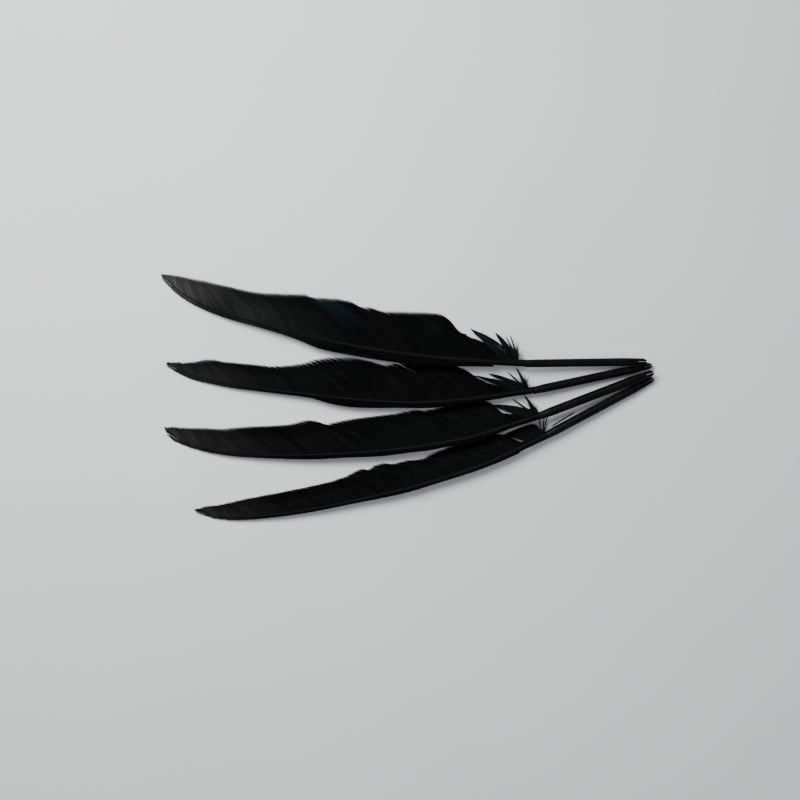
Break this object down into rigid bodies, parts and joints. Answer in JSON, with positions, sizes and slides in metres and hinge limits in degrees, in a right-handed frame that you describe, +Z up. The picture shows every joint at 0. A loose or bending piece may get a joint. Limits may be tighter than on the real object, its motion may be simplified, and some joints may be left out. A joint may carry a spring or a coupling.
{
  "type": "quill pen set",
  "caption": "Black feather quill pens laid in a fan, each a hollow horn barrel cut to a writing point, a curved pith-filled shaft, and a broad and a narrow vane of barbs",
  "frame": {"origin": "centre of the fan's footprint, on the table that the pens lie on", "axes": "+X along the pens from the feather tips to the writing points, +Y across the fan to the broad-vane side, +Z up from the table"},
  "size_m": [0.3057, 0.1522, 0.0111],
  "materials": {
    "barrel_horn": "dyed black horn, polished, with fine lengthwise scratches",
    "shaft_horn": "dyed black horn, satin",
    "pith": "pale, dry and spongy",
    "membrane": "thin, dry and translucent",
    "vane_barbs": "dyed black feather barbs with a soft sheen along each barb",
    "loose_barbs": "loose, downy black barbs"
  },
  "bodies": {
    "quill_1": {"quill_1_barrel": "barrel_horn", "quill_1_pulp_caps": "membrane", "quill_1_shaft": "shaft_horn", "quill_1_pith": "pith", "quill_1_leading_vane": "vane_barbs", "quill_1_trailing_vane": "vane_barbs", "quill_1_down_tufts": "loose_barbs"},
    "quill_2": {"quill_2_barrel": "barrel_horn", "quill_2_pulp_caps": "membrane", "quill_2_shaft": "shaft_horn", "quill_2_pith": "pith", "quill_2_leading_vane": "vane_barbs", "quill_2_trailing_vane": "vane_barbs", "quill_2_down_tufts": "loose_barbs"},
    "quill_3": {"quill_3_barrel": "barrel_horn", "quill_3_pulp_caps": "membrane", "quill_3_shaft": "shaft_horn", "quill_3_pith": "pith", "quill_3_leading_vane": "vane_barbs", "quill_3_trailing_vane": "vane_barbs", "quill_3_down_tufts": "loose_barbs"},
    "quill_4": {"quill_4_barrel": "barrel_horn", "quill_4_pulp_caps": "membrane", "quill_4_shaft": "shaft_horn", "quill_4_pith": "pith", "quill_4_leading_vane": "vane_barbs", "quill_4_trailing_vane": "vane_barbs", "quill_4_down_tufts": "loose_barbs"}
  },
  "joints": [
    {"name": "quill_3_lift", "type": "slide", "parent": "quill_4", "child": "quill_3", "axis": [0, 0, 1], "range_m": [0, 0.05]},
    {"name": "quill_2_lift", "type": "slide", "parent": "quill_3", "child": "quill_2", "axis": [0, 0, 1], "range_m": [0, 0.05]},
    {"name": "quill_1_lift", "type": "slide", "parent": "quill_2", "child": "quill_1", "axis": [0, 0, 1], "range_m": [0, 0.05]}
  ]
}
